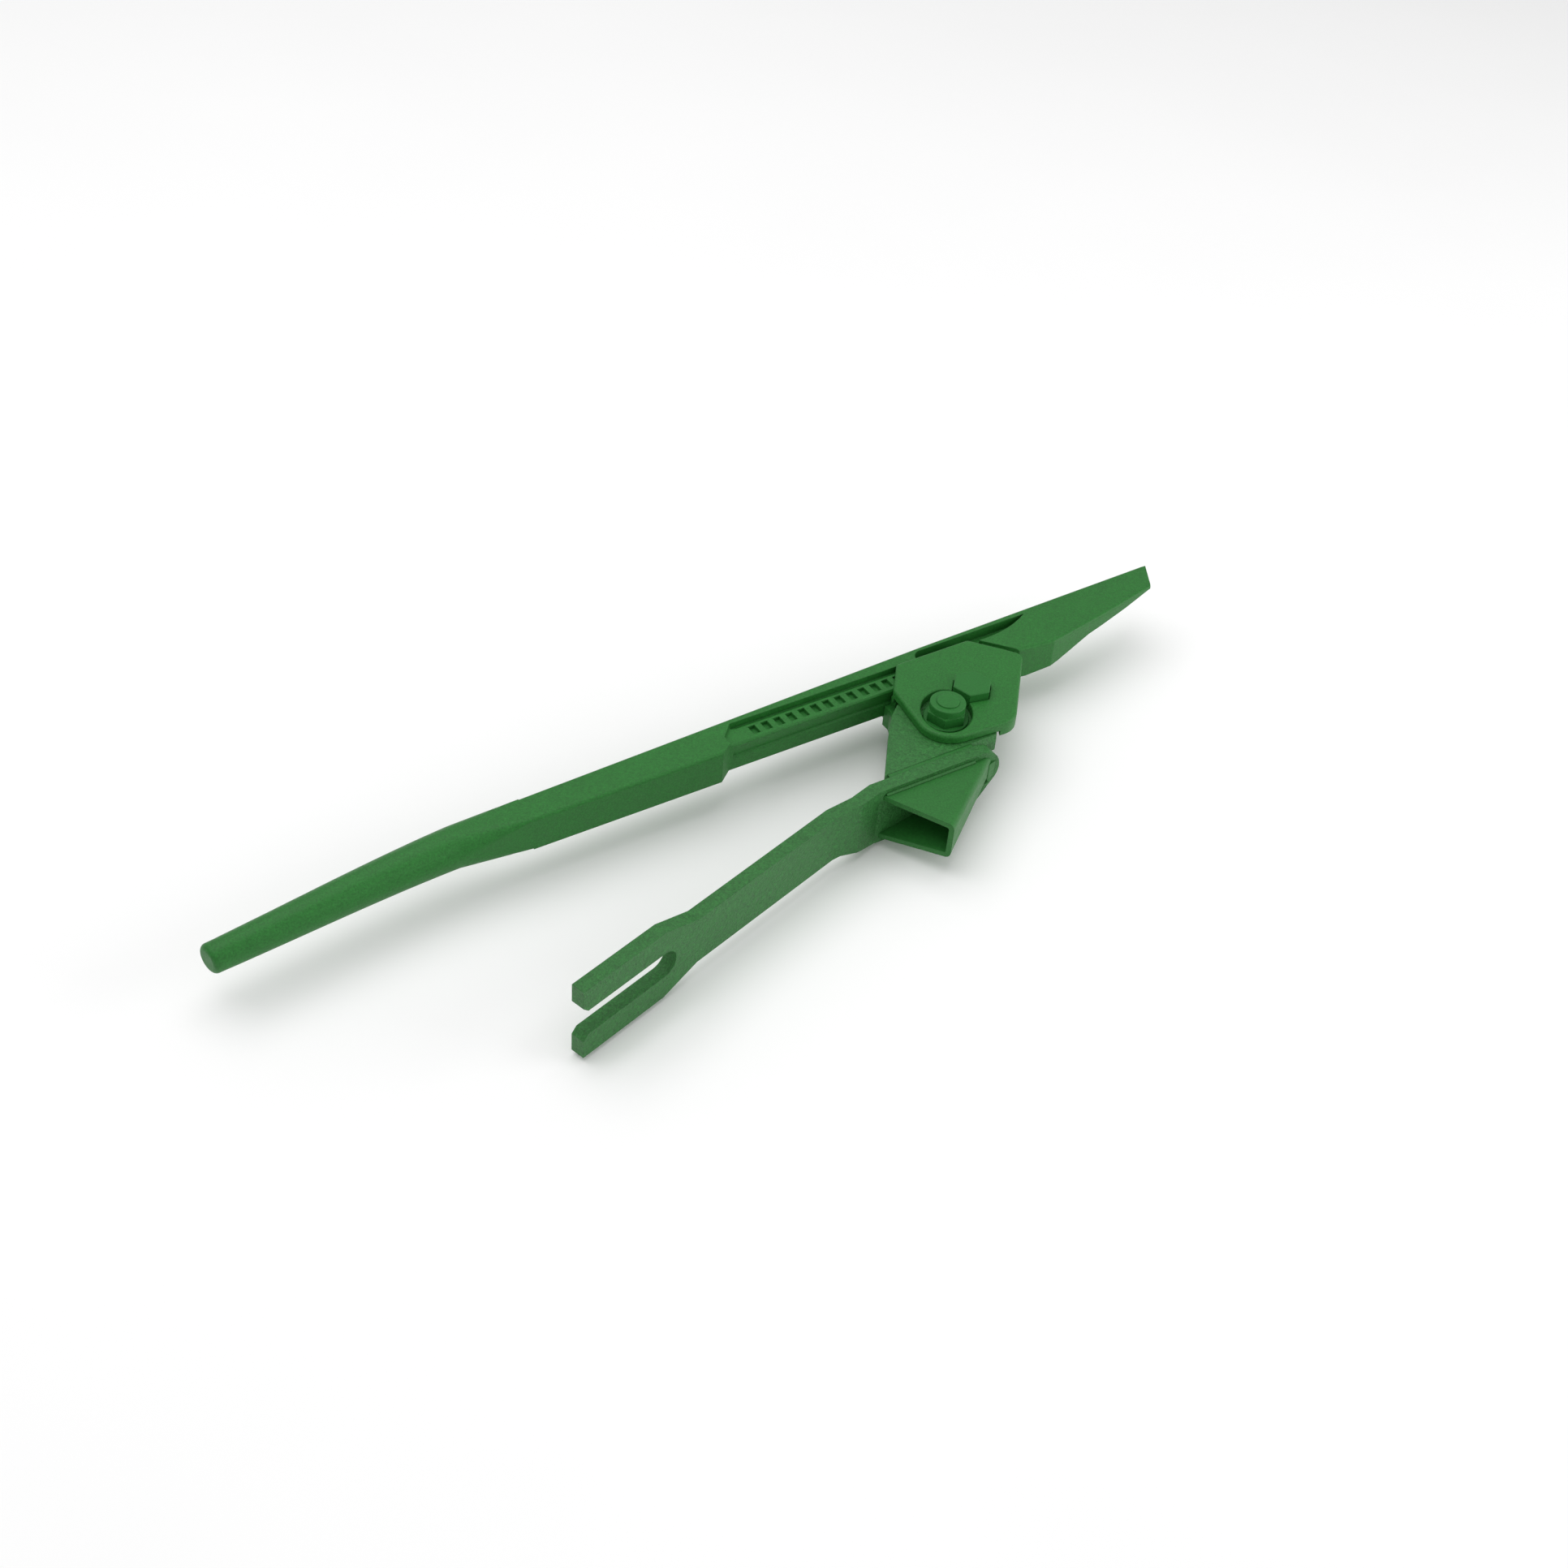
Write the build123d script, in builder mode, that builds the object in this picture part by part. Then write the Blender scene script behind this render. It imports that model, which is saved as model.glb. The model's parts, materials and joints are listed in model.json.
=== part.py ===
from build123d import *
from math import acos, atan2, cos, degrees, radians, sin, sqrt
import os

# Adjustable crop lifter for a combine cutter bar.
#
# A fork strip bolts under a knife guard, and its socket holds the guard's tip.
# A neck plate carries a clamp that swings about a pivot bolt.
# The lifting arm slides through the clamp, and a toothed key locks it in its rack.
#
# Plan sketches are drawn about the pivot axis: X runs along the arm to the blade tip, Y runs from the
# fork strip to the arm, and heights are measured from the clamp cover's top face.

# ---- the arm --------------------------------------------------------------------------------
arm_top = -2.5
arm_bottom = -22.0
body_near_y = 27.2
body_left_x = -224.0
blade_tip_x = 183.7
blade_far_y = 58.5
edge_round = 1.8

# ---- the rack in the arm --------------------------------------------------------------------
rack_near_y = 31.8
rack_left_x = -105.0
rack_step_x = rack_left_x - 6.2
body_right_x = rack_left_x - 13.0
rack_bottom = -20.4
ledge_top = -4.5
groove_near_y = 42.5
groove_far_y = 45.5
groove_floor = -6.4
pocket_pitch = 7.5
pocket_first_x = -93.4
pocket_count = 19
pocket_near_y = 34.6
pocket_far_y = 41.0
pocket_length = 4.0
pocket_depth = 2.2
pocket_ramp = 1.2
pocket_centres = [pocket_first_x + pocket_pitch * index for index in range(pocket_count)]
recess_floor = -8.5

# ---- the round handle: X, centre Y, diameter ------------------------------------------------
handle_centre_z = -12.2
nearly_round = 0.49
handle_end_cut = 12.0
handle_end_x = -389.5
handle_end_round = 2.5
handle_sections = [
    (-262.0, 36.9, 20.6),
    (-304.0, 32.6, 18.6),
    (-350.0, 26.3, 16.4),
    (-390.0, 21.0, 14.5),
]

# ---- the clamp ------------------------------------------------------------------------------
cover_thickness = 8.0
cover_front_y = -22.5
cover_far_y = 45.1
cover_under_arm = -4.2
cover_edge_round = 1.8
clamp_wall_y = 31.5
lip_near_y = 42.9
lip_bottom = -5.7
window_long_radius = 17.6
window_short_radius = 13.4
window_turn = 54.0
across_flats = 19.0
hex_turn = 48.0
clamp_bolt_x = 22.0
clamp_bolt_y = 8.3
head_bottom = -3.0
head_top = 4.5
bolt_radius = 6.0
base_top = -13.4
base_bottom = -27.0
hook_top = -20.7
hook_far_y = 50.0
rib_near_y = 27.3
clamp_washer_thickness = 2.5
nut_height = 9.0
nut_gap = 0.3
nut_seat = base_bottom - 2 * clamp_washer_thickness - nut_gap
clamp_bolt_end = nut_seat - nut_height - 0.7

# ---- the lock key between cover and rack, drawn released -------------------------------------
key_left_x = 7.2
key_right_x = 45.2
key_near_y = 33.6
key_far_y = 41.8
key_roof = -1.2
key_top = -1.5
key_underside = -2.5
key_tooth_tip = -4.2
key_tooth_centres = pocket_centres[-5:]
key_tooth_near_y = 37.8
key_tooth_far_y = 40.2

# ---- the neck and the pivot -----------------------------------------------------------------
neck_top = -5.2
neck_bottom = -13.1
neck_clearance = 0.3
neck_end_radius = 34.0
neck_end_start = -1.0
neck_end_sweep = 39.0
neck_foot_x = 14.2
neck_weld_leg = 2.4
swing_limit = 10.0
bush_radius = 8.0
running_gap = 0.05
nut_foot = -3.9
nut_collar_bottom = 1.6
nut_top = 6.0
pivot_bolt_stand = 0.8
pivot_head_height = 7.5

# ---- the fork strip -------------------------------------------------------------------------
strip_thickness = 7.4
strip_top = -5.2
strip_bottom = -39.4
strip_near_y = -32.5
strip_far_y = strip_near_y + strip_thickness
strip_end_round = 12.3
strip_cut_end = (-1.5, strip_bottom)
rear_bend = (-93.6, -38.8)
mid_bend = (-77.2, -36.9)
front_bend = (-63.7, strip_near_y)
rear_angle = 16.57
rear_bottom = -32.4
rear_top = -4.4
head_bottom_edge = -39.4
head_top_edge = 2.6
neck_of_head = 98.6
head_start = 121.0
tine_end = 173.0
slot_width = 15.0
slot_centre_z = -18.4
tine_chamfer = 3.0

# ---- the guard socket -----------------------------------------------------------------------
socket_top = -8.5
socket_wall = 2.8
mouth_plate = (-61.2, strip_near_y)
mouth_corner = (-43.0, -67.7)
socket_tip = (6.3, strip_near_y)
underside_at_plate = -36.2
underside_at_corner = -29.5
underside_at_tip = -22.9
socket_bend_radius = 3.4
upper_weld_leg = 1.4
lower_weld_leg = 3.0
tip_weld_leg = 3.5
tip_weld_height = 10.0

# ---- place of the pivot in the part's own frame ---------------------------------------------
# The origin is under the middle of the whole lifter, on the plane it lies on.
rear_direction = Vector(-cos(radians(rear_angle)), -sin(radians(rear_angle)), 0)
rear_normal = Vector(-sin(radians(rear_angle)), cos(radians(rear_angle)), 0)
nearest_y = rear_bend[1] + tine_end * rear_direction.Y
pivot_x = -(handle_end_x + blade_tip_x) / 2
pivot_y = -(nearest_y + blade_far_y) / 2
cover_top_z = -clamp_bolt_end


def level(height):
    """Plan plane at a height from the cover's top, centred on the pivot axis."""
    return Plane(origin=(pivot_x, pivot_y, cover_top_z + height))


def upright(y):
    """Upright plane at a distance from the pivot, with X along the arm and Y up."""
    return Plane(origin=(pivot_x, pivot_y + y, cover_top_z), x_dir=(1, 0, 0), z_dir=(0, -1, 0))


def across(x, y, z):
    """Plane across the arm at a point, with X towards the far side and Y up."""
    return Plane(origin=(pivot_x + x, pivot_y + y, cover_top_z + z), x_dir=(0, 1, 0), z_dir=(1, 0, 0))


def shoulder_x(y):
    """X of the arm's slanted shoulder at a given Y."""
    (top_x, top_y), (foot_x, foot_y) = shoulder_top, shoulder_foot
    return top_x + (y - top_y) * (foot_x - top_x) / (foot_y - top_y)


def corner(sketch, x, y):
    """The sketch corner nearest to a point."""
    return sketch.vertices().sort_by_distance((x, y))[0]


def hexagon(width):
    """Hexagon of a given width across flats, turned the way both bolts sit."""
    return RegularPolygon(width / 2, 6, major_radius=False, rotation=hex_turn)


def polar(distance, angle):
    """Plan point at a distance from the pivot in a direction."""
    return (distance * cos(radians(angle)), distance * sin(radians(angle)))


def bearing(start, end):
    """Direction in degrees from one plan point to another."""
    return degrees(atan2(end[1] - start[1], end[0] - start[0]))


def mitre(point, angle_in, angle_out):
    """Far-side corner of the strip at a bend, from the near-side corner and both directions."""
    middle = radians((angle_in + angle_out) / 2)
    reach = strip_thickness / cos(radians((angle_out - angle_in) / 2))
    return (point[0] - reach * sin(middle), point[1] + reach * cos(middle))


def faces_side(face, angle):
    """Whether a face is the socket's long side wall, which runs at a plan angle."""
    outward = Vector(sin(angle), -cos(angle), 0)
    return face.normal_at().dot(outward) > 0.99


def slab_through(points):
    """Plane through three points, facing up."""
    placed = [Vector(pivot_x + x, pivot_y + y, cover_top_z + z) for x, y, z in points]
    normal = (placed[1] - placed[0]).cross(placed[2] - placed[0])
    if normal.Z < 0:
        normal = normal * -1
    return Plane(origin=placed[0], z_dir=normal)


def finish_piece(builder, name):
    """Label the piece and write its STEP file."""
    builder.part.label = name
    export_step(builder.part, f"parts/{name}.step")


os.makedirs("parts", exist_ok=True)

# ============================================================================================
# Lifting arm
# ============================================================================================
shoulder_top = (54.0, 44.0)
shoulder_foot = (69.0, 26.8)
blade_belly = (91.0, 24.0)
blade_edge_end = (173.3, 40.2)
blade_far_end = (178.0, blade_far_y)
far_mid = (19.0, 54.3)
body_far_left = (body_left_x, 44.1)
shoulder_near_x = shoulder_x(rack_near_y)
recess_right = (91.5, 52.4)

with BuildPart() as lifting_arm:
    # Plan of the forging from the handle's root to the blade tip.
    with BuildSketch(level(arm_bottom)):
        with BuildLine():
            Polyline(
                (body_left_x, body_near_y),
                (body_right_x, body_near_y),
                (rack_step_x, rack_near_y),
                (shoulder_near_x, rack_near_y),
                shoulder_foot,
                blade_belly,
                (131.0, 31.3),
                blade_edge_end,
                (blade_tip_x, blade_far_y - 1.0),
                blade_far_end,
                far_mid,
                body_far_left,
                close=True,
            )
        make_face()
    extrude(amount=arm_top - arm_bottom)
    # The underside is cut up along the rack and rises to a thin blade tip.
    with BuildSketch(upright(0)):
        with BuildLine():
            Polyline(
                (body_left_x, arm_top),
                (body_left_x, arm_bottom),
                (body_right_x, arm_bottom),
                (rack_step_x, rack_bottom),
                (62.0, rack_bottom),
                (67.0, arm_bottom),
                (76.0, arm_bottom),
                (97.0, -18.3),
                (121.0, -11.5),
                (152.0, -8.0),
                (172.0, -4.4),
                (blade_tip_x, -4.0),
                (blade_tip_x, arm_top),
                close=True,
            )
        make_face()
    extrude(amount=70, both=True, mode=Mode.INTERSECT)
    # Rounded long edges of the forging.
    top_edges = lifting_arm.faces().sort_by(Axis.Z)[-1].edges()
    long_edges = top_edges.filter_by(lambda edge: edge.length > 21)
    fillet(long_edges.filter_by(lambda edge: abs(edge.center().Y - pivot_y - rack_near_y) > 1), edge_round)

    # Ledge for the rack, stopped by the shoulder beside the cover.
    with BuildSketch(level(ledge_top)):
        with BuildLine():
            Polyline(
                (rack_step_x, 20.0),
                (rack_step_x, 37.6),
                (rack_left_x + 1.5, groove_far_y),
                (shoulder_x(groove_far_y), groove_far_y),
                (shoulder_x(20.0), 20.0),
                close=True,
            )
        make_face()
    extrude(amount=10, mode=Mode.SUBTRACT)
    # Groove along the ledge for the cover's lip.
    with BuildSketch(level(groove_floor)):
        with BuildLine():
            Polyline(
                (rack_left_x + 0.8, groove_near_y + 1.2),
                (rack_left_x + 3.0, groove_near_y),
                (shoulder_x(groove_near_y), groove_near_y),
                (shoulder_x(groove_far_y), groove_far_y),
                (rack_left_x + 2.0, groove_far_y),
                close=True,
            )
        make_face()
    extrude(amount=10, mode=Mode.SUBTRACT)
    # Curved recess that runs on from the groove into the blade's root.
    with BuildSketch(level(recess_floor)):
        with BuildLine():
            Polyline(recess_right, (20.0, 51.3))
            ThreePointArc((20.0, 51.3), (15.3, 49.5), (14.0, groove_near_y + 1.5))
            Polyline((14.0, groove_near_y + 1.5), (52.0, groove_near_y + 1.5))
            ThreePointArc((52.0, groove_near_y + 1.5), (73.5, 45.6), recess_right)
        make_face()
    extrude(amount=12, mode=Mode.SUBTRACT)
    # Rack pockets with a flat floor and a short ramp up on the near side.
    pocket_planes = [across(x, 0, ledge_top) for x in pocket_centres]
    with BuildSketch(*pocket_planes):
        with BuildLine():
            Polyline(
                (pocket_near_y, 0.0),
                (pocket_near_y + pocket_ramp, -pocket_depth),
                (pocket_far_y, -pocket_depth),
                (pocket_far_y, 0.0),
                close=True,
            )
        make_face()
    extrude(amount=pocket_length / 2, both=True, mode=Mode.SUBTRACT)
    # Bevelled ledge edge and the shallow hollow below it on the rack's near side.
    with BuildSketch(across(rack_step_x + 2.0, rack_near_y, 0)):
        with BuildLine():
            Polyline(
                (-2.0, ledge_top + 0.5),
                (1.0, ledge_top + 0.5),
                (0.0, ledge_top - 1.0),
                (1.2, -12.4),
                (0.0, -13.3),
                (-2.0, -13.3),
                close=True,
            )
        make_face()
    extrude(amount=shoulder_near_x - rack_step_x - 6.0, mode=Mode.SUBTRACT)

    # The forging turns from its rectangular body into the round handle.
    root_round = 1.0
    body_width = body_far_left[1] - body_near_y
    body_middle_y = (body_far_left[1] + body_near_y) / 2
    body_middle_z = (arm_top + arm_bottom) / 2
    first_x, first_y, first_diameter = handle_sections[0]
    with BuildSketch(across(body_left_x, body_middle_y, body_middle_z)):
        RectangleRounded(body_width, arm_top - arm_bottom, root_round)
    with BuildSketch(across(first_x, first_y, handle_centre_z)):
        RectangleRounded(first_diameter, first_diameter, first_diameter * nearly_round)
    loft(ruled=True)
    for x, y, diameter in handle_sections:
        with BuildSketch(across(x, y, handle_centre_z)):
            RectangleRounded(diameter, diameter, diameter * nearly_round)
    loft()
    # The handle's end is cut slightly askew and rounded.
    end_x, end_y, end_diameter = handle_sections[-1]
    far_corner = (pivot_x + end_x, pivot_y + end_y + end_diameter / 2, cover_top_z + handle_centre_z)
    cut_direction = (cos(radians(handle_end_cut)), sin(radians(handle_end_cut)), 0)
    split(bisect_by=Plane(origin=far_corner, z_dir=cut_direction), keep=Keep.TOP)
    handle_end = lifting_arm.faces().sort_by(Axis.X)[0]
    fillet(handle_end.edges(), handle_end_round)

finish_piece(lifting_arm, "lifting_arm")

# ============================================================================================
# Clamp cover
# ============================================================================================
# Outline of the room under the cover: what the neck plate sweeps over the clamp's whole swing.
neck_foot = (neck_foot_x, strip_far_y)
side_normal = bearing(neck_foot, polar(neck_end_radius, neck_end_start)) - 90.0
side_reach = neck_foot[0] * cos(radians(side_normal)) + neck_foot[1] * sin(radians(side_normal)) + 0.4
room_corner = polar(side_reach / cos(radians(swing_limit)), side_normal)
room_radius = neck_end_radius + 0.6
room_start = side_normal - swing_limit + degrees(acos(side_reach / room_radius))
room_end = neck_end_start + neck_end_sweep + swing_limit + 1.0
room_middle = (room_start + room_end) / 2
room_round_start = polar(room_radius, room_start)
room_round_end = polar(room_radius, room_end)
room_left = -60.0
front_run = polar(40.0, side_normal + swing_limit - 90.0)
room_front = (room_corner[0] + front_run[0], room_corner[1] + front_run[1])

with BuildPart() as clamp_cover:
    with BuildSketch(level(0)) as cover_plan:
        with BuildLine():
            Polyline(
                (-0.2, cover_far_y),
                (-14.4, 27.6),
                (-21.3, cover_front_y + 3.2),
                (28.3, cover_front_y),
                (66.3, 20.9),
                (46.4, cover_far_y),
                close=True,
            )
        make_face()
        fillet(corner(cover_plan, -21.3, cover_front_y), 17.0)
        fillet(corner(cover_plan, 28.3, cover_front_y), 13.0)
        fillet(corner(cover_plan, 66.3, 20.9), 5.5)
        fillet(corner(cover_plan, 46.4, cover_far_y), 3.0)
        fillet(corner(cover_plan, -0.2, cover_far_y), 2.0)
        fillet(corner(cover_plan, -14.4, 27.6), 3.0)
    extrude(amount=-cover_thickness)
    fillet(clamp_cover.faces().sort_by(Axis.Z)[-1].edges(), cover_edge_round)
    # Hollow underside in which the neck plate swings, open to the front and the left.
    with BuildSketch(level(neck_top + neck_clearance)):
        with BuildLine():
            Polyline(
                room_round_start,
                room_corner,
                room_front,
                (room_left, room_front[1]),
                (room_left, room_round_end[1]),
                room_round_end,
            )
            ThreePointArc(room_round_end, polar(room_radius, room_middle), room_round_start)
        make_face()
    extrude(amount=-10, mode=Mode.SUBTRACT)
    # Raised underside over the arm, with a lip down into the arm's groove.
    with BuildSketch(level(cover_under_arm)):
        with Locations((25, clamp_wall_y + 20)):
            Rectangle(120, 40)
    extrude(amount=-10, mode=Mode.SUBTRACT)
    with BuildSketch(level(cover_under_arm)):
        with Locations((24, (lip_near_y + cover_far_y) / 2)):
            Rectangle(40, cover_far_y - lip_near_y)
    extrude(amount=lip_bottom - cover_under_arm)
    # Pocket that houses the lock key.
    with BuildSketch(level(key_roof)):
        with Locations(((key_left_x + key_right_x) / 2, (key_near_y + key_far_y) / 2)):
            Rectangle(key_right_x - key_left_x + 0.6, key_far_y - key_near_y + 0.6)
    extrude(amount=-10, mode=Mode.SUBTRACT)
    # Oval window around the pivot nut, with a rounded upper rim.
    with BuildSketch(level(0)):
        Ellipse(window_long_radius, window_short_radius, rotation=window_turn)
    extrude(amount=-cover_thickness - 1, mode=Mode.SUBTRACT)
    top_face = clamp_cover.faces().sort_by(Axis.Z)[-1]
    fillet(top_face.inner_wires()[0].edges(), 0.8)
    # Hexagonal seat that keeps the clamp bolt from turning, and its hole.
    with BuildSketch(level(head_bottom)):
        with Locations((clamp_bolt_x, clamp_bolt_y)):
            hexagon(across_flats + 0.9)
    extrude(amount=10, mode=Mode.SUBTRACT)
    with BuildSketch(level(0)):
        with Locations((clamp_bolt_x, clamp_bolt_y)):
            Circle(bolt_radius + 0.3)
    extrude(amount=-cover_thickness - 1, mode=Mode.SUBTRACT)

finish_piece(clamp_cover, "clamp_cover")

# ============================================================================================
# Clamp base with the hook under the arm
# ============================================================================================
with BuildPart() as clamp_base:
    with BuildSketch(level(base_bottom)) as base_plan:
        with BuildLine():
            Polyline(
                (-15.7, clamp_wall_y),
                (-15.7, 26.4),
                (-18.0, 21.4),
                (-18.0, -15.4),
                (18.0, -15.4),
                (31.0, -4.0),
                (50.0, 18.0),
                (50.0, clamp_wall_y),
                close=True,
            )
        make_face()
        fillet(corner(base_plan, -18.0, -15.4), 14.0)
        fillet(corner(base_plan, 18.0, -15.4), 8.0)
    extrude(amount=base_top - base_bottom)
    # Hook plate under the arm and the rib that carries the cover beside it.
    with BuildSketch(level(base_bottom)):
        with Locations((18, (clamp_wall_y + hook_far_y) / 2)):
            Rectangle(60, hook_far_y - clamp_wall_y)
    extrude(amount=hook_top - base_bottom)
    chamfer(clamp_base.faces().sort_by(Axis.Z)[0].edges(), 1.0)
    with BuildSketch(level(base_top)):
        with Locations((19, (rib_near_y + clamp_wall_y) / 2)):
            Rectangle(62, clamp_wall_y - rib_near_y)
    extrude(amount=-cover_thickness - base_top)
    # Bore that turns on the pivot bush, and the clamp bolt's hole.
    with BuildSketch(level(base_bottom)):
        Circle(bush_radius + running_gap)
        with Locations((clamp_bolt_x, clamp_bolt_y)):
            Circle(bolt_radius + 0.3)
    extrude(amount=30, mode=Mode.SUBTRACT)

finish_piece(clamp_base, "clamp_base")

# ============================================================================================
# Lock key: a toothed strip that drops into the rack pockets
# ============================================================================================
with BuildPart() as rack_key:
    with BuildSketch(level(key_underside)):
        with Locations(((key_left_x + key_right_x) / 2, (key_near_y + key_far_y) / 2)):
            RectangleRounded(key_right_x - key_left_x, key_far_y - key_near_y, 1.0)
    extrude(amount=key_top - key_underside)
    with BuildSketch(level(key_tooth_tip)):
        with Locations(*[(x, (key_tooth_near_y + key_tooth_far_y) / 2) for x in key_tooth_centres]):
            Rectangle(pocket_length - 0.7, key_tooth_far_y - key_tooth_near_y)
    extrude(amount=key_underside - key_tooth_tip)

finish_piece(rack_key, "rack_key")

# ============================================================================================
# Clamp bolt, washers and nut
# ============================================================================================
clamp_axis = (clamp_bolt_x, clamp_bolt_y)
washer_bottom = base_bottom - clamp_washer_thickness
spring_bottom = washer_bottom - clamp_washer_thickness

with BuildPart() as clamp_bolt:
    with BuildSketch(level(head_bottom)):
        with Locations(clamp_axis):
            hexagon(across_flats)
    extrude(amount=head_top - head_bottom)
    chamfer(clamp_bolt.faces().sort_by(Axis.Z)[-1].edges(), 0.5)
    with BuildSketch(level(head_bottom)):
        with Locations(clamp_axis):
            Circle(bolt_radius)
    extrude(amount=clamp_bolt_end - head_bottom)
    chamfer(clamp_bolt.faces().sort_by(Axis.Z)[0].edges(), 1.0)

finish_piece(clamp_bolt, "clamp_bolt")

with BuildPart() as clamp_washer:
    with BuildSketch(level(washer_bottom)):
        with Locations(clamp_axis):
            Circle(11.0)
            Circle(bolt_radius + 0.3, mode=Mode.SUBTRACT)
    extrude(amount=clamp_washer_thickness)

finish_piece(clamp_washer, "clamp_washer")

with BuildPart() as clamp_spring_washer:
    with BuildSketch(level(spring_bottom)):
        with Locations(clamp_axis):
            Circle(10.5)
            Circle(bolt_radius + 0.3, mode=Mode.SUBTRACT)
        with Locations((clamp_bolt_x, clamp_bolt_y - 9.0)):
            Rectangle(1.2, 8.0, mode=Mode.SUBTRACT)
    extrude(amount=clamp_washer_thickness)

finish_piece(clamp_spring_washer, "clamp_spring_washer")

with BuildPart() as clamp_nut:
    with BuildSketch(level(nut_seat)):
        with Locations(clamp_axis):
            hexagon(across_flats)
    extrude(amount=-nut_height)
    chamfer(clamp_nut.faces().sort_by(Axis.Z)[0].edges(), 0.6)
    with BuildSketch(level(nut_seat)):
        with Locations(clamp_axis):
            Circle(bolt_radius + running_gap)
    extrude(amount=-nut_height, mode=Mode.SUBTRACT)

finish_piece(clamp_nut, "clamp_nut")

# ============================================================================================
# Pivot: bolt, bush, washers, lock nut
# ============================================================================================
pivot_gap = 0.3
bush_bottom = base_bottom - pivot_gap
head_washer_bottom = bush_bottom - 2.0

with BuildPart() as pivot_bush:
    with BuildSketch(level(bush_bottom)):
        Circle(bush_radius)
        Circle(bolt_radius, mode=Mode.SUBTRACT)
    extrude(amount=neck_top - bush_bottom)

finish_piece(pivot_bush, "pivot_bush")

with BuildPart() as pivot_head_washer:
    with BuildSketch(level(head_washer_bottom)):
        Circle(11.5)
        Circle(bolt_radius, mode=Mode.SUBTRACT)
    extrude(amount=bush_bottom - head_washer_bottom)

finish_piece(pivot_head_washer, "pivot_head_washer")

with BuildPart() as pivot_bolt:
    with BuildSketch(level(head_washer_bottom)):
        hexagon(across_flats)
    extrude(amount=-pivot_head_height)
    chamfer(pivot_bolt.faces().sort_by(Axis.Z)[0].edges(), 0.6)
    with BuildSketch(level(head_washer_bottom)):
        Circle(bolt_radius)
    extrude(amount=nut_top + pivot_bolt_stand - head_washer_bottom)
    fillet(pivot_bolt.faces().sort_by(Axis.Z)[-1].edges(), 0.6)

finish_piece(pivot_bolt, "pivot_bolt")

with BuildPart() as pivot_washer:
    with BuildSketch(level(neck_top)):
        Circle(12.0)
        Circle(bolt_radius, mode=Mode.SUBTRACT)
    extrude(amount=nut_foot - neck_top)
    chamfer(pivot_washer.faces().sort_by(Axis.Z)[-1].edges().sort_by(SortBy.RADIUS)[-1], 0.4)

finish_piece(pivot_washer, "pivot_washer")

insert_bottom = 3.0
insert_top = 5.1
insert_radius = 8.2

with BuildPart() as pivot_nut:
    with BuildSketch(level(nut_foot)):
        hexagon(across_flats)
    extrude(amount=nut_collar_bottom - nut_foot)
    with BuildSketch(level(nut_collar_bottom)):
        Circle(across_flats / 2 - 0.1)
    extrude(amount=nut_top - nut_collar_bottom)
    fillet(pivot_nut.faces().sort_by(Axis.Z)[-1].edges(), 0.7)
    with BuildSketch(level(nut_foot)):
        Circle(bolt_radius)
    extrude(amount=nut_top - nut_foot, mode=Mode.SUBTRACT)
    with BuildSketch(level(insert_bottom)):
        Circle(insert_radius)
    extrude(amount=insert_top - insert_bottom, mode=Mode.SUBTRACT)

finish_piece(pivot_nut, "pivot_nut")

with BuildPart() as pivot_nut_insert:
    with BuildSketch(level(insert_bottom)):
        Circle(insert_radius)
        Circle(bolt_radius, mode=Mode.SUBTRACT)
    extrude(amount=insert_top - insert_bottom)

finish_piece(pivot_nut_insert, "pivot_nut_insert")

# ============================================================================================
# Neck plate
# ============================================================================================
bolt_reach = sqrt(clamp_bolt_x**2 + clamp_bolt_y**2)
bolt_bearing = degrees(atan2(clamp_bolt_y, clamp_bolt_x))
slot_sweep = swing_limit + 1.0
swing_slot = CenterArc((0, 0), bolt_reach, bolt_bearing - slot_sweep, 2 * slot_sweep)

with BuildPart() as neck_plate:
    with BuildSketch(level(neck_bottom)) as neck_plan:
        with BuildLine():
            round_end = CenterArc((0, 0), neck_end_radius, neck_end_start, neck_end_sweep)
            Polyline(
                round_end @ 0,
                neck_foot,
                (-55.9, strip_far_y),
                (-30.7, 7.1),
                (-23.4, 15.1),
                (-16.0, (round_end @ 1).Y),
                round_end @ 1,
            )
        make_face()
        SlotArc(swing_slot, 2 * bolt_radius + 1.0, mode=Mode.SUBTRACT)
        Circle(bush_radius, mode=Mode.SUBTRACT)
    extrude(amount=neck_top - neck_bottom)
    # Weld preparation along the front upper edge.
    with BuildSketch(across(-60.0, strip_far_y, 0)):
        with BuildLine():
            Polyline(
                (-1.0, neck_top + 1.0),
                (neck_weld_leg + 1.0, neck_top + 1.0),
                (-1.0, neck_top - neck_weld_leg - 1.0),
                close=True,
            )
        make_face()
    extrude(amount=85.0, mode=Mode.SUBTRACT)

finish_piece(neck_plate, "neck_plate")

# ============================================================================================
# Fork strip
# ============================================================================================
rear_plane = Plane(
    origin=(pivot_x + rear_bend[0], pivot_y + rear_bend[1], cover_top_z),
    x_dir=rear_direction,
    z_dir=rear_normal,
)
mid_angle = bearing(rear_bend, mid_bend)
step_angle = bearing(mid_bend, front_bend)
rear_far = (rear_bend[0] + strip_thickness * rear_normal.X, rear_bend[1] + strip_thickness * rear_normal.Y)

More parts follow.
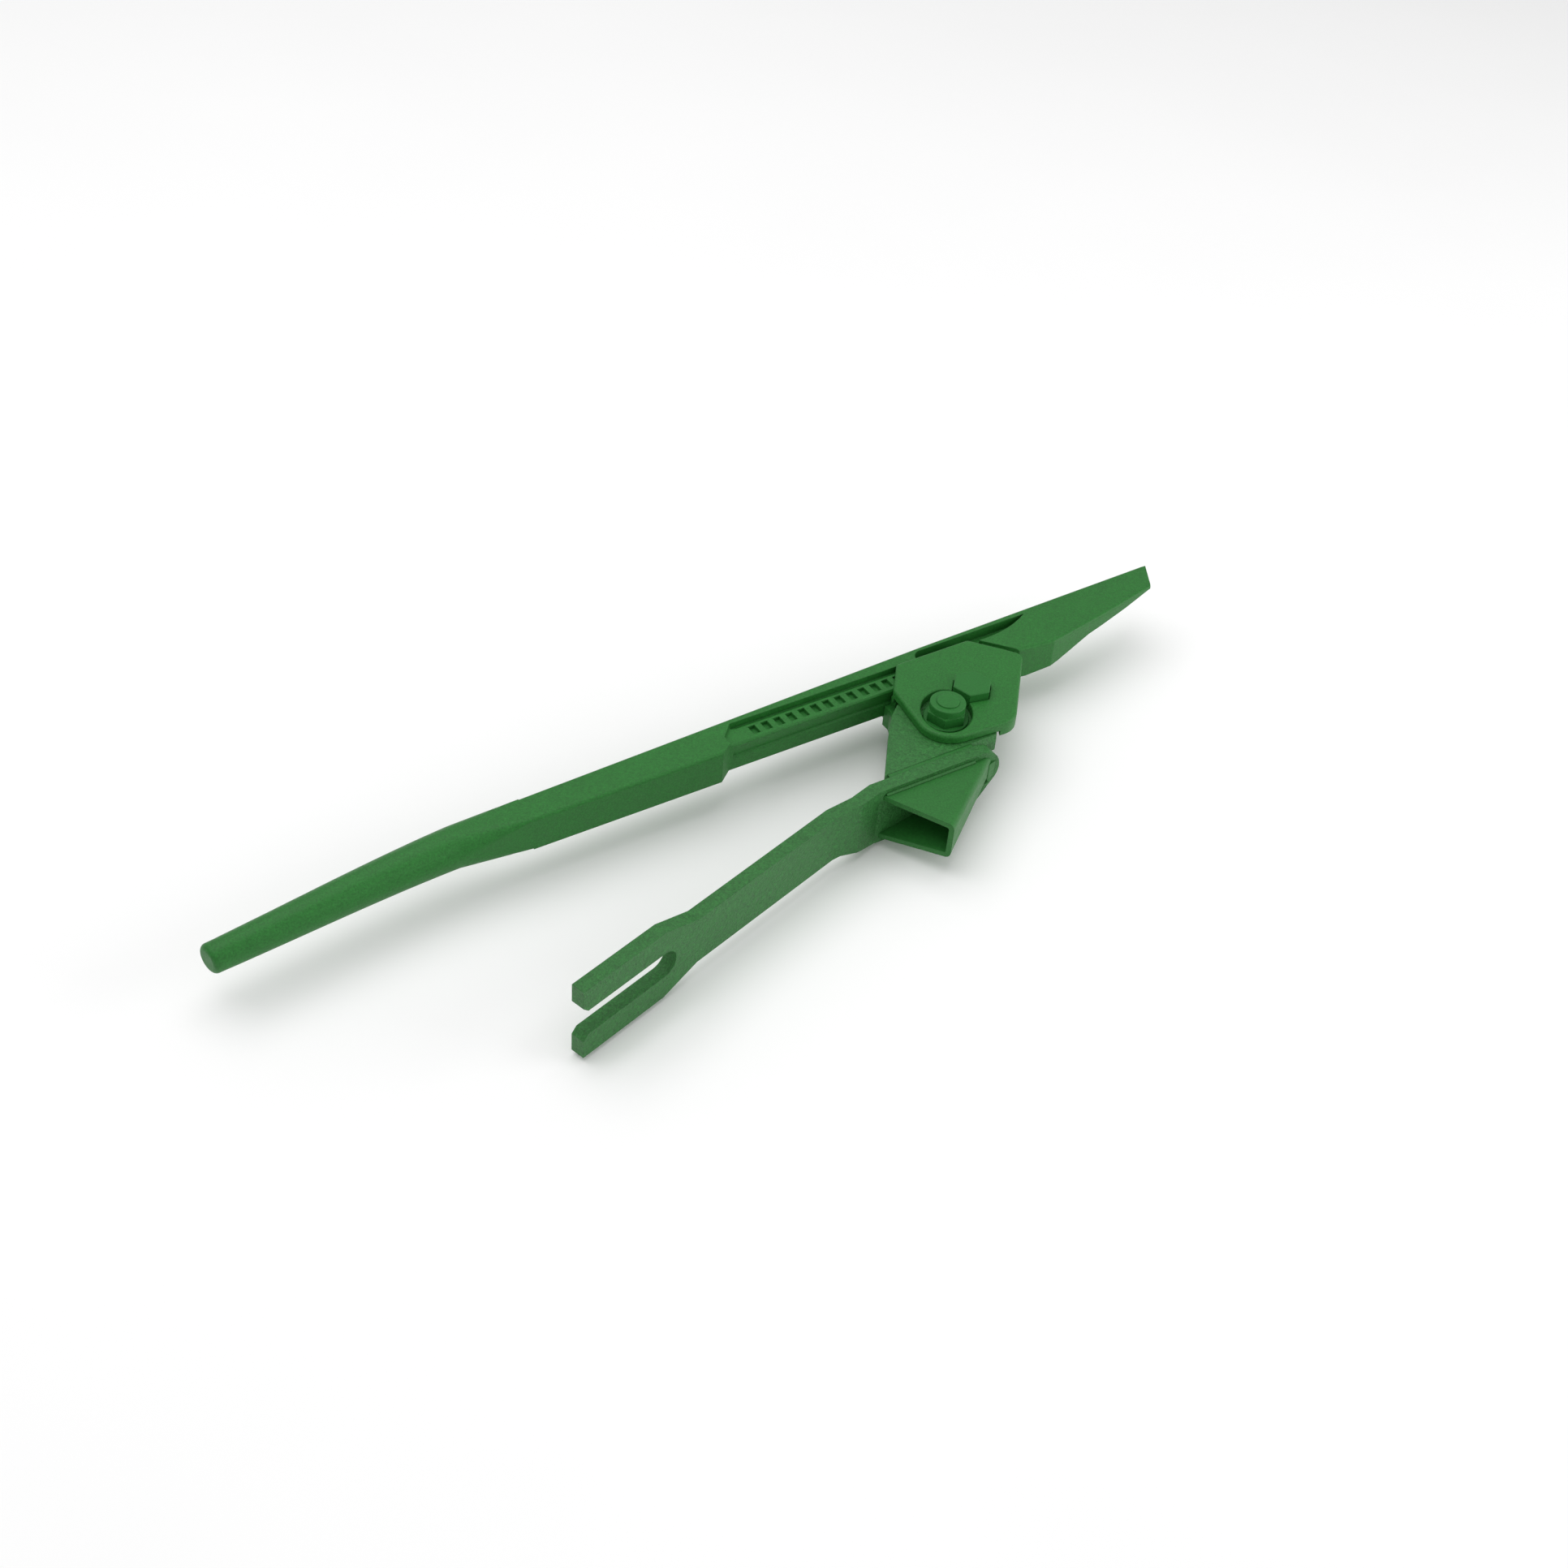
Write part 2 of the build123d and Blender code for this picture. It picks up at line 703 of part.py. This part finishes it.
# Front part: bent in plan, then cut to its side outline with a rounded, undercut end.
end_centre_z = strip_top - strip_end_round
end_arc_low = (strip_end_round * cos(radians(30)), end_centre_z - strip_end_round * sin(radians(30)))
end_arc_middle = (strip_end_round * cos(radians(30)), end_centre_z + strip_end_round * sin(radians(30)))
with BuildPart() as strip_front:
    with BuildSketch(level(strip_bottom)):
        with BuildLine():
            Polyline(
                rear_bend,
                mid_bend,
                front_bend,
                (strip_end_round, strip_near_y),
                (strip_end_round, strip_far_y),
                mitre(front_bend, step_angle, 0.0),
                mitre(mid_bend, mid_angle, step_angle),
                mitre(rear_bend, rear_angle, mid_angle),
                rear_far,
                close=True,
            )
        make_face()
    extrude(amount=rear_top - strip_bottom)
    with BuildSketch(upright(0)):
        with BuildLine():
            Polyline(
                (0.0, strip_top),
                (front_bend[0], strip_top),
                (mid_bend[0], rear_top),
                (rear_bend[0] - 5.0, rear_top),
                (rear_bend[0] - 5.0, rear_bottom),
                (-88.7, rear_bottom),
                (-73.7, -37.1),
                (-62.7, strip_bottom),
                strip_cut_end,
                end_arc_low,
            )
            ThreePointArc(end_arc_low, end_arc_middle, (0.0, strip_top))
        make_face()
    extrude(amount=60, both=True, mode=Mode.INTERSECT)

with BuildPart() as fork_strip:
    # Rear shank and slotted head, drawn along the strip.
    with BuildSketch(rear_plane) as rear_side:
        with BuildLine():
            Polyline(
                (0, rear_bottom),
                (neck_of_head, rear_bottom),
                (head_start, head_bottom_edge),
                (tine_end, head_bottom_edge),
                (tine_end, head_top_edge),
                (head_start, head_top_edge),
                (neck_of_head, rear_top),
                (0, rear_top),
                close=True,
            )
        make_face()
        with Locations((head_start, slot_centre_z)):
            Circle(slot_width / 2, mode=Mode.SUBTRACT)
        with Locations(((head_start + tine_end) / 2, slot_centre_z)):
            Rectangle(tine_end - head_start, slot_width, mode=Mode.SUBTRACT)
        slot_mouth = [
            corner(rear_side, tine_end, slot_centre_z - slot_width / 2),
            corner(rear_side, tine_end, slot_centre_z + slot_width / 2),
        ]
        chamfer(slot_mouth, tine_chamfer)
    extrude(amount=strip_thickness)
    add(strip_front.part)

finish_piece(fork_strip, "fork_strip")

# ============================================================================================
# Guard socket: bent sheet with three walls, open to the rear
# ============================================================================================
side_angle = radians(bearing(mouth_corner, socket_tip))
inward = (-sin(side_angle), cos(side_angle))
underside = [
    (*mouth_plate, underside_at_plate),
    (*mouth_corner, underside_at_corner),
    (*socket_tip, underside_at_tip),
]
inner_floor = [(x, y, z + socket_wall) for x, y, z in underside]
side_offset = (socket_wall * inward[0], socket_wall * inward[1])
past_mouth = 12.0
back_x = past_mouth * cos(side_angle)
back_y = past_mouth * sin(side_angle)
cavity_near = (mouth_corner[0] + side_offset[0] - back_x, mouth_corner[1] + side_offset[1] - back_y)
tip_ratio = (strip_near_y - cavity_near[1]) / sin(side_angle)
cavity_tip = (cavity_near[0] + tip_ratio * cos(side_angle), strip_near_y)

with BuildPart() as socket_cavity:
    with BuildSketch(level(socket_top - socket_wall)):
        with BuildLine():
            Polyline(
                cavity_near,
                cavity_tip,
                (mouth_plate[0] - 2 * past_mouth, strip_near_y),
                close=True,
            )
        make_face()
    extrude(amount=-40.0)
    split(bisect_by=slab_through(inner_floor), keep=Keep.TOP)
    side_bends = socket_cavity.faces().filter_by(lambda face: faces_side(face, side_angle)).edges()
    fillet(side_bends.filter_by(lambda edge: edge.length > 40), 1.2)

with BuildPart() as socket_shell:
    with BuildSketch(level(socket_top)):
        with BuildLine():
            Polyline(mouth_plate, mouth_corner, socket_tip, close=True)
        make_face()
    extrude(amount=-40.0)
    split(bisect_by=slab_through(underside), keep=Keep.TOP)
    side_bends = socket_shell.faces().filter_by(lambda face: faces_side(face, side_angle)).edges()
    fillet(side_bends.filter_by(lambda edge: edge.length > 40), socket_bend_radius)
    add(socket_cavity.part, mode=Mode.SUBTRACT)

finish_piece(socket_shell, "socket_shell")

# ============================================================================================
# Welds
# ============================================================================================
def weld_bead(name, plane, leg_across, leg_down, length):
    """Fillet weld with a slightly hollow face, laid in the corner at the plane's origin."""
    with BuildPart() as bead:
        with BuildSketch(plane):
            with BuildLine():
                Line((leg_across, 0), (0, 0))
                Line((0, 0), (0, leg_down))
                ThreePointArc(
                    (0, leg_down),
                    (leg_across * 0.42, leg_down * 0.42),
                    (leg_across, 0),
                )
            make_face()
        extrude(amount=length)
    finish_piece(bead, name)


weld_bead("neck_weld_upper", across(-52.7, strip_far_y, neck_top), neck_weld_leg, -neck_weld_leg, 52.0)
weld_bead("neck_weld_lower", across(-52.7, strip_far_y, neck_bottom), 2.2, -2.2, 56.0)
weld_bead("socket_weld_upper", across(-59.7, strip_near_y, socket_top), -upper_weld_leg, upper_weld_leg, 55.0)

# The lower socket seam climbs along the strip with the sheet's underside.
seam_start = Vector(mouth_plate[0] + 2.0, strip_near_y, underside_at_plate + 0.4)
seam_end = Vector(socket_tip[0] - 2.0, strip_near_y, underside_at_tip - 0.4)
lower_seam = Plane(
    origin=Vector(pivot_x, pivot_y, cover_top_z) + seam_start,
    x_dir=(0, -1, 0),
    z_dir=seam_end - seam_start,
)
seam_length = (seam_end - seam_start).length
weld_bead("socket_weld_lower", lower_seam, lower_weld_leg, lower_weld_leg, seam_length)

with BuildPart() as socket_weld_tip:
    with BuildSketch(level(underside_at_tip)):
        with BuildLine():
            Polyline(
                socket_tip,
                (socket_tip[0] + tip_weld_leg, strip_near_y),
                (
                    socket_tip[0] - tip_weld_leg * cos(side_angle),
                    strip_near_y - tip_weld_leg * sin(side_angle),
                ),
                close=True,
            )
        make_face()
    extrude(amount=tip_weld_height)

finish_piece(socket_weld_tip, "socket_weld_tip")
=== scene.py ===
# Adjustable crop lifter in satin green paint, on a pale studio floor.
#
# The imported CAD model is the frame. This script gives every piece its finish, and sets the floor,
# the light and the camera. Lengths are in metres.

import json
import math

import bpy
from mathutils import Matrix, Vector


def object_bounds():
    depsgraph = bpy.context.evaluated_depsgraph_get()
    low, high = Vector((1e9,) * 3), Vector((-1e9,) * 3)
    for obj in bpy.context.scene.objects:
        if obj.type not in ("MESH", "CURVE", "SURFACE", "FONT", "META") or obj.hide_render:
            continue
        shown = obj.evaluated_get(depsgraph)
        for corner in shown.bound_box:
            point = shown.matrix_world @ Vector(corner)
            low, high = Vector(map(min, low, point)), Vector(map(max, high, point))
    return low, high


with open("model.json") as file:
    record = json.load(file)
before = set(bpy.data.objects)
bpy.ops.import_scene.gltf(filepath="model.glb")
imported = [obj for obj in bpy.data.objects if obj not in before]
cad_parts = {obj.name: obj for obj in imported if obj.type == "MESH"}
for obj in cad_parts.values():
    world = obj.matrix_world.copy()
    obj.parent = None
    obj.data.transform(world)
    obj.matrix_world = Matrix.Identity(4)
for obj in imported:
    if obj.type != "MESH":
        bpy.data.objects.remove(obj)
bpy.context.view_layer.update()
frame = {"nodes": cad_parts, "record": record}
nodes = frame["nodes"]

# ---- camera -------------------------------------------------------------------------------------
VIEW_AZIMUTH = math.radians(-36.1)
VIEW_ELEVATION = math.radians(40.5)
VIEW_ROLL = math.radians(5.36)
VIEW_DISTANCE = 1.0258
VIEW_TARGET = Vector((0.0055, 0.01713, 0.0295))
LENS_MM = 47.18
SENSOR_MM = 36.0
CLIP_START = 0.01

# ---- colours, linear ----------------------------------------------------------------------------
FORGED_GREEN = (0.019, 0.152, 0.023)
FASTENER_GREEN = (0.019, 0.153, 0.025)
# Green paint of the plates, with extra grey mixed in as painted sheen of light glancing off their
# broad faces.
PLATE_GREEN_AND_SHEEN = (0.030, 0.152, 0.034)
SHEET_GREEN = (0.021, 0.146, 0.025)
STEEL_GREY = (0.34, 0.34, 0.35)
NYLON_BLUE = (0.07, 0.14, 0.25)
FLOOR_WHITE = (0.97, 0.97, 0.97)
WORLD_WHITE = (1.0, 1.0, 1.0, 1.0)

# ---- paint --------------------------------------------------------------------------------------
GRAIN_SCALE = 1100.0
GRAIN_BUMP_DISTANCE = 0.00012
MOTTLE_BUMP_DISTANCE = 0.0007
CLOUD_SCALE = 22.0
CLOUD_SHADE = (0.96, 1.04)
PAINT_ROUGHNESS = (0.38, 0.54)
PAINT_IOR = 1.5
PAINT_SPECULAR = 0.28
BEVEL_SAMPLES = 6

# ---- bare steel and nylon -----------------------------------------------------------------------
TURNING_SCALE = 400.0
TURNING_STRETCH = (1.0, 1.0, 14.0)
TURNING_SHADE = (0.8, 1.15)
TURNING_BUMP_DISTANCE = 0.00005
TURNING_BUMP = 0.3
STEEL_ROUGHNESS = (0.28, 0.45)
HAZE_SCALE = 600.0
HAZE_SHADE = (0.9, 1.1)
NYLON_ROUGHNESS = (0.45, 0.6)

# ---- studio -------------------------------------------------------------------------------------
FLOOR_SIZE = 8.0
FLOOR_GAP = 0.0003
FLOOR_NOISE_SCALE = 3.0
FLOOR_SHADE = (0.99, 1.01)
FLOOR_ROUGHNESS = 0.9
WORLD_STRENGTH = 0.58
LIGHT_TARGET = (0, 0, 0)

# name: place, side of the square in metres, power in watts
AREA_LIGHTS = {
    "overhead": ((-0.3, 0.5, 1.95), 2.2, 23.0),
    "right_front": ((1.5, -1.1, 0.6), 1.2, 13.5),
}


# ---- material helpers ---------------------------------------------------------------------------
class NodeTree:
    """Small helper that adds and joins the nodes of one material."""

    def __init__(self, name):
        self.material = bpy.data.materials.new(name)
        self.material.use_nodes = True
        self.tree = self.material.node_tree
        self.shader = self.tree.nodes["Principled BSDF"]

    def add(self, kind, **values):
        node = self.tree.nodes.new(kind)
        for key, value in values.items():
            setattr(node, key, value)
        return node

    def join(self, output, socket):
        self.tree.links.new(output, socket)

    def object_place(self):
        return self.add("ShaderNodeTexCoord").outputs["Object"]

    def noise(self, place, scale, detail=3.0, roughness=0.55, distortion=0.0):
        node = self.add("ShaderNodeTexNoise")
        node.inputs["Scale"].default_value = scale
        node.inputs["Detail"].default_value = detail
        node.inputs["Roughness"].default_value = roughness
        node.inputs["Distortion"].default_value = distortion
        self.join(place, node.inputs["Vector"])
        return node.outputs["Fac"]

    def spread(self, value, low, high):
        """Map a noise value from the range 0.25 to 0.75 onto the range low to high."""
        node = self.add("ShaderNodeMapRange")
        node.inputs["From Min"].default_value = 0.25
        node.inputs["From Max"].default_value = 0.75
        node.inputs["To Min"].default_value = low
        node.inputs["To Max"].default_value = high
        self.join(value, node.inputs["Value"])
        return node.outputs["Result"]

    def multiply(self, first, second):
        node = self.add("ShaderNodeMath", operation="MULTIPLY")
        self.join(first, node.inputs[0])
        self.join(second, node.inputs[1])
        return node.outputs["Value"]

    def tint(self, colour, factor):
        """A colour made lighter or darker by a factor."""
        node = self.add("ShaderNodeVectorMath", operation="SCALE")
        node.inputs[0].default_value = colour
        self.join(factor, node.inputs["Scale"])
        return node.outputs["Vector"]

    def bump(self, height, distance, strength, normal=None):
        node = self.add("ShaderNodeBump")
        node.inputs["Distance"].default_value = distance
        node.inputs["Strength"].default_value = strength
        self.join(height, node.inputs["Height"])
        if normal is not None:
            self.join(normal, node.inputs["Normal"])
        return node.outputs["Normal"]

    def drive(self, socket_name, output):
        self.join(output, self.shader.inputs[socket_name])

    def fix(self, socket_name, value):
        self.shader.inputs[socket_name].default_value = value


def satin_paint(name, colour, grain_depth, grain_bump,
                mottle_scale, mottle_depth, mottle_bump, edge_radius):
    """Satin paint: fine grain over a softer mottle, with edges shaded as if rounded."""
    paint = NodeTree(name)
    place = paint.object_place()
    grain = paint.noise(place, GRAIN_SCALE, roughness=0.7)
    mottle = paint.noise(place, mottle_scale, detail=4.0, roughness=0.6, distortion=0.6)
    cloud = paint.noise(place, CLOUD_SCALE, detail=2.0)

    fine = paint.spread(grain, 1 - grain_depth, 1 + grain_depth)
    coarse = paint.spread(mottle, 1 - mottle_depth, 1 + mottle_depth)
    broad = paint.spread(cloud, *CLOUD_SHADE)
    shade = paint.multiply(paint.multiply(fine, coarse), broad)
    paint.drive("Base Color", paint.tint(colour, shade))
    paint.drive("Roughness", paint.spread(mottle, *PAINT_ROUGHNESS))

    soft_edge = paint.add("ShaderNodeBevel", samples=BEVEL_SAMPLES)
    soft_edge.inputs["Radius"].default_value = edge_radius
    normal = paint.bump(mottle, MOTTLE_BUMP_DISTANCE, mottle_bump, soft_edge.outputs["Normal"])
    normal = paint.bump(grain, GRAIN_BUMP_DISTANCE, grain_bump, normal)
    paint.drive("Normal", normal)
    paint.fix("IOR", PAINT_IOR)
    paint.fix("Specular IOR Level", PAINT_SPECULAR)
    return paint.material


def bare_steel(name):
    """Turned and lightly oiled steel, for the pieces that carry no paint."""
    steel = NodeTree(name)
    stretch = steel.add("ShaderNodeMapping")
    stretch.inputs["Scale"].default_value = TURNING_STRETCH
    steel.join(steel.object_place(), stretch.inputs["Vector"])
    turning = steel.noise(stretch.outputs["Vector"], TURNING_SCALE)
    steel.drive("Base Color", steel.tint(STEEL_GREY, steel.spread(turning, *TURNING_SHADE)))
    steel.drive("Roughness", steel.spread(turning, *STEEL_ROUGHNESS))
    steel.drive("Normal", steel.bump(turning, TURNING_BUMP_DISTANCE, TURNING_BUMP))
    steel.fix("Metallic", 1.0)
    return steel.material


def nylon(name):
    """Moulded nylon of the lock nut's ring."""
    plastic = NodeTree(name)
    haze = plastic.noise(plastic.object_place(), HAZE_SCALE)
    plastic.drive("Base Color", plastic.tint(NYLON_BLUE, plastic.spread(haze, *HAZE_SHADE)))
    plastic.drive("Roughness", plastic.spread(haze, *NYLON_ROUGHNESS))
    return plastic.material


# name: colour, grain depth and bump, mottle scale, depth and bump, radius of the shaded edge
PAINTS = {
    "forged_green": (FORGED_GREEN, 0.36, 1.0, 170.0, 0.06, 0.16, 0.0008),
    "fastener_green": (FASTENER_GREEN, 0.18, 0.6, 220.0, 0.04, 0.08, 0.0004),
    # The plates' colour is the green paint plus grey painted sheen.
    "plate_green": (PLATE_GREEN_AND_SHEEN, 0.40, 1.0, 460.0, 0.24, 1.0, 0.0004),
    "sheet_green": (SHEET_GREEN, 0.28, 0.9, 170.0, 0.06, 0.16, 0.0006),
    "weld_green": (SHEET_GREEN, 0.28, 0.9, 300.0, 0.08, 0.35, 0.0008),
}


def finish_cad_nodes():
    """Give every CAD node the finish of its own material slot."""
    finishes = {name: satin_paint(name, *values) for name, values in PAINTS.items()}
    finishes["bare_steel"] = bare_steel("bare_steel")
    finishes["nylon"] = nylon("nylon")
    for subpart in frame["record"]["subparts"]:
        mesh = nodes[subpart["node"]].data
        mesh.materials.clear()
        mesh.materials.append(finishes[subpart["material_slot"]])


# ---- studio -------------------------------------------------------------------------------------
def make_floor():
    """A large pale floor just under the lifter's lowest point."""
    low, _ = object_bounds()
    place = (0, 0, low[2] - FLOOR_GAP)
    bpy.ops.mesh.primitive_plane_add(size=FLOOR_SIZE, location=place)
    floor = bpy.context.object
    floor.name = "studio_floor"
    pale = NodeTree("pale_floor")
    cloud = pale.noise(pale.object_place(), FLOOR_NOISE_SCALE)
    pale.drive("Base Color", pale.tint(FLOOR_WHITE, pale.spread(cloud, *FLOOR_SHADE)))
    pale.fix("Roughness", FLOOR_ROUGHNESS)
    floor.data.materials.append(pale.material)


def make_area_light(name, place, size, power):
    """A square soft light aimed at the middle of the lifter."""
    data = bpy.data.lights.new(name, "AREA")
    data.size = size
    data.energy = power
    light = bpy.data.objects.new(name, data)
    bpy.context.scene.collection.objects.link(light)
    light.location = place
    aim = Vector(LIGHT_TARGET) - Vector(place)
    light.rotation_euler = aim.to_track_quat("-Z", "Y").to_euler()


def make_light():
    """White surroundings, a broad light overhead and a weaker one from the right front."""
    world = bpy.data.worlds.new("studio")
    bpy.context.scene.world = world
    world.use_nodes = True
    background = world.node_tree.nodes["Background"]
    background.inputs["Color"].default_value = WORLD_WHITE
    background.inputs["Strength"].default_value = WORLD_STRENGTH
    for name, (place, size, power) in AREA_LIGHTS.items():
        make_area_light(name, place, size, power)


def make_camera():
    """Camera at the three-quarter view from above, rolled a little."""
    back = Vector((
        math.sin(VIEW_AZIMUTH) * math.cos(VIEW_ELEVATION),
        -math.cos(VIEW_AZIMUTH) * math.cos(VIEW_ELEVATION),
        math.sin(VIEW_ELEVATION),
    ))
    right = Vector((math.cos(VIEW_AZIMUTH), math.sin(VIEW_AZIMUTH), 0.0))
    up = back.cross(right)
    turned_right = right * math.cos(VIEW_ROLL) + up * math.sin(VIEW_ROLL)
    turned_up = up * math.cos(VIEW_ROLL) - right * math.sin(VIEW_ROLL)

    data = bpy.data.cameras.new("camera")
    data.sensor_width = SENSOR_MM
    data.lens = LENS_MM
    data.clip_start = CLIP_START
    camera = bpy.data.objects.new("camera", data)
    bpy.context.scene.collection.objects.link(camera)
    turn = Matrix((turned_right, turned_up, back)).transposed().to_4x4()
    camera.matrix_world = Matrix.Translation(VIEW_TARGET + back * VIEW_DISTANCE) @ turn
    bpy.context.scene.camera = camera


make_camera()
finish_cad_nodes()
make_floor()
make_light()
bpy.context.scene.view_settings.view_transform = "Standard"
